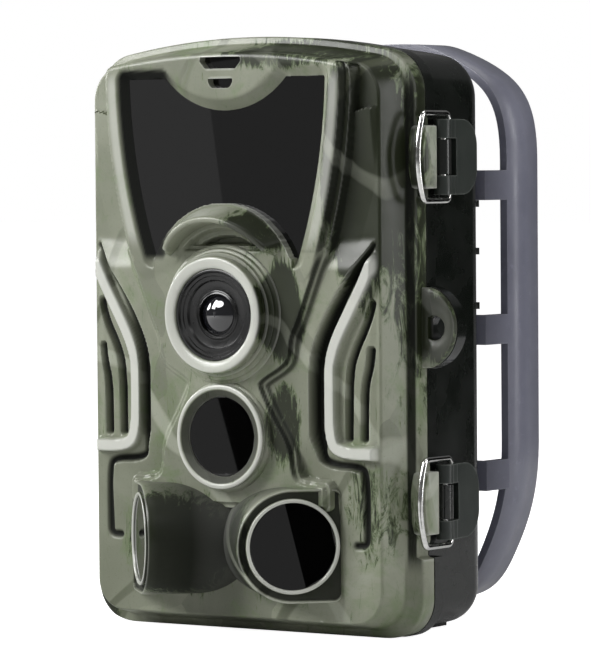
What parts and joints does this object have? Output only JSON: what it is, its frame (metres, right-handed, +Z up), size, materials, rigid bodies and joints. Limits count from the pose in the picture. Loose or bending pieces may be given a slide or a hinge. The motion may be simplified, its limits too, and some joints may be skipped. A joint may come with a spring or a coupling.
{
  "type": "trail camera",
  "caption": "Weatherproof trail camera: arched case with infrared window, hooded lens, tilted side sensors, side latches and a tree bracket with strap slots.",
  "frame": {"origin": "mouth of the tripod socket, on the underside of the case, midway across", "axes": "+X right seen from the front, +Y to the back (the lens looks along -Y), +Z up"},
  "size_m": [0.0995, 0.081, 0.135],
  "materials": {
    "camo_plastic": "satin camouflage film",
    "camo_trim": "glossy camouflage film",
    "case_plastic": "glossy near-black",
    "bracket_plastic": "satin blue-grey",
    "latch_plastic": "satin dark grey",
    "wire_steel": "bright wire",
    "screw_steel": "plated",
    "dark_window": "gloss, infrared-passing",
    "lens_plastic": "matt black",
    "lens_glass": "coated glass",
    "led_clear": "clear resin",
    "board": "green solder mask",
    "chips": "moulded black",
    "sensor_metal": "plated can",
    "contact_metal": "nickel plated",
    "card_plastic": "matt",
    "key_rubber": "matt rubber",
    "switch_plastic": "satin light grey",
    "tray_plastic": "moulded black",
    "cell_wrap": "printed wrap",
    "seal_rubber": "matt rubber",
    "brass": "machined"
  },
  "bodies": {
    "case": {"rear_case": "case_plastic", "tree_bracket": "bracket_plastic", "bracket_screws": "screw_steel", "battery_tray": "tray_plastic", "aa_cells": "cell_wrap", "battery_contacts": "contact_metal", "battery_springs": "contact_metal", "case_gasket": "seal_rubber", "tripod_insert": "brass", "dc_jack": "tray_plastic", "latch_pins": "wire_steel", "hinge_pins": "wire_steel"},
    "cover": {"av_jack": "chips", "board_chips": "chips", "card_socket": "sensor_metal", "front_cover": "camo_plastic", "image_sensor": "chips", "inner_panel": "case_plastic", "ir_led_board": "board", "ir_leds": "led_clear", "ir_window": "dark_window", "lcd_module": "chips", "lcd_window": "dark_window", "lens_baffle": "lens_plastic", "lens_barrel": "lens_plastic", "lens_bezel": "camo_trim", "lens_front_element": "lens_glass", "light_sensor": "chips", "main_board": "board", "microphone": "sensor_metal", "mode_switch_body": "chips", "panel_screws": "screw_steel", "pir_bezel_centre": "camo_trim", "pir_bezel_left": "camo_trim", "pir_bezel_right": "camo_trim", "pir_lens_centre": "dark_window", "pir_lens_left": "dark_window", "pir_lens_right": "dark_window", "pir_sensors": "sensor_metal", "pir_side_boards": "board", "slot_window": "dark_window", "tact_switches": "chips", "usb_port": "sensor_metal"},
    "lever_upper": {"lever_upper": "latch_plastic"},
    "lever_lower": {"lever_lower": "latch_plastic"},
    "bail_upper": {"bail_upper": "wire_steel"},
    "bail_lower": {"bail_lower": "wire_steel"},
    "mode_switch": {"mode_switch_knob": "switch_plastic"},
    "memory_card": {"memory_card": "card_plastic"},
    "supply_plug": {"dc_jack_plug": "seal_rubber"},
    "button_down": {"button_down": "key_rubber"},
    "button_left": {"button_left": "key_rubber"},
    "button_menu": {"button_menu": "key_rubber"},
    "button_ok": {"button_ok": "key_rubber"},
    "button_right": {"button_right": "key_rubber"},
    "button_shot": {"button_shot": "key_rubber"},
    "button_up": {"button_up": "key_rubber"}
  },
  "joints": [
    {"name": "cover_hinge", "type": "hinge", "parent": "case", "child": "cover", "pos_m": [-0.0459, -0.014, 0.0675], "axis": [0, 0, -1], "range_deg": [0, 110]},
    {"name": "lever_upper_pivot", "type": "hinge", "parent": "case", "child": "lever_upper", "pos_m": [0.046, -0.01095, 0.1074], "axis": [0, 0, -1], "range_deg": [0, 110]},
    {"name": "bail_upper_pivot", "type": "hinge", "parent": "lever_upper", "child": "bail_upper", "pos_m": [0.046, -0.00865, 0.1074], "axis": [0, 0, 1], "range_deg": [0, 136]},
    {"name": "lever_lower_pivot", "type": "hinge", "parent": "case", "child": "lever_lower", "pos_m": [0.046, -0.01095, 0.0305], "axis": [0, 0, -1], "range_deg": [0, 110]},
    {"name": "bail_lower_pivot", "type": "hinge", "parent": "lever_lower", "child": "bail_lower", "pos_m": [0.046, -0.00865, 0.0305], "axis": [0, 0, 1], "range_deg": [0, 136]},
    {"name": "button_down_press", "type": "slide", "parent": "cover", "child": "button_down", "axis": [0, -1, 0], "range_m": [0, 0.0006], "stiffness_N_per_m": 2500},
    {"name": "button_left_press", "type": "slide", "parent": "cover", "child": "button_left", "axis": [0, -1, 0], "range_m": [0, 0.0006], "stiffness_N_per_m": 2500},
    {"name": "button_menu_press", "type": "slide", "parent": "cover", "child": "button_menu", "axis": [0, -1, 0], "range_m": [0, 0.0006], "stiffness_N_per_m": 2500},
    {"name": "button_ok_press", "type": "slide", "parent": "cover", "child": "button_ok", "axis": [0, -1, 0], "range_m": [0, 0.0006], "stiffness_N_per_m": 2500},
    {"name": "button_right_press", "type": "slide", "parent": "cover", "child": "button_right", "axis": [0, -1, 0], "range_m": [0, 0.0006], "stiffness_N_per_m": 2500},
    {"name": "button_shot_press", "type": "slide", "parent": "cover", "child": "button_shot", "axis": [0, -1, 0], "range_m": [0, 0.0006], "stiffness_N_per_m": 2500},
    {"name": "button_up_press", "type": "slide", "parent": "cover", "child": "button_up", "axis": [0, -1, 0], "range_m": [0, 0.0006], "stiffness_N_per_m": 2500},
    {"name": "mode_switch_slide", "type": "slide", "parent": "cover", "child": "mode_switch", "axis": [1, 0, 0], "range_m": [-0.003, 0.003]},
    {"name": "memory_card_slide", "type": "slide", "parent": "cover", "child": "memory_card", "axis": [0, 0, -1], "range_m": [0, 0.015]},
    {"name": "supply_plug_pull", "type": "slide", "parent": "case", "child": "supply_plug", "axis": [0, 0, -1], "range_m": [0, 0.012]}
  ],
  "couplings": [
    {"joint": "bail_upper_pivot", "follows": "lever_upper_pivot", "ratio": 1.227},
    {"joint": "bail_lower_pivot", "follows": "lever_lower_pivot", "ratio": 1.227}
  ]
}
